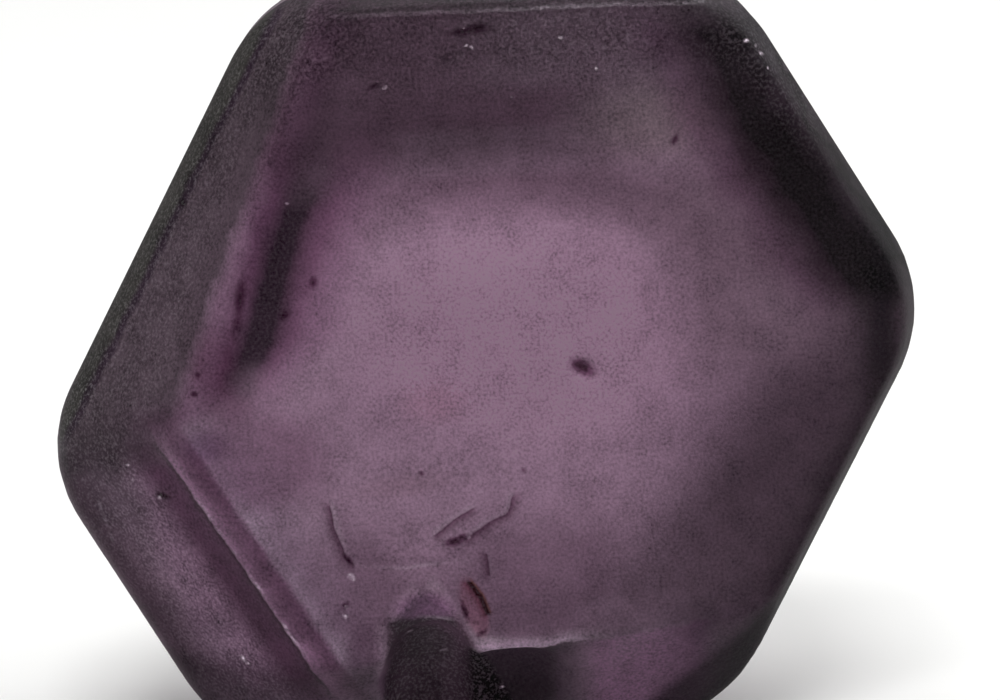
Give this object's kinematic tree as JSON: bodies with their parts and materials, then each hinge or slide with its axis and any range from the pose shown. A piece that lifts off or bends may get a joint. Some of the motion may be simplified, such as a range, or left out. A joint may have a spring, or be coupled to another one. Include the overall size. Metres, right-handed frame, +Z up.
{
  "type": "taaffeite crystal",
  "caption": "Loose waterworn tablet of purple taaffeite with six rounded prism faces, flat ends and bevels, which stands on its lowest prism face.",
  "frame": {"origin": "middle of the bottom of the crystal's bounding box, on the surface that it stands on", "axes": "+Z up, away from the prism face that it stands on; +Y along the six-fold axis, from the broad front face to the rear face; +X to the right as the front face is seen"},
  "size_m": [0.0098, 0.005, 0.0088],
  "materials": {
    "taaffeite": "frosted and waterworn, see-through mauve to purple"
  },
  "bodies": {
    "root": {"crystal": "taaffeite"}
  },
  "joints": []
}
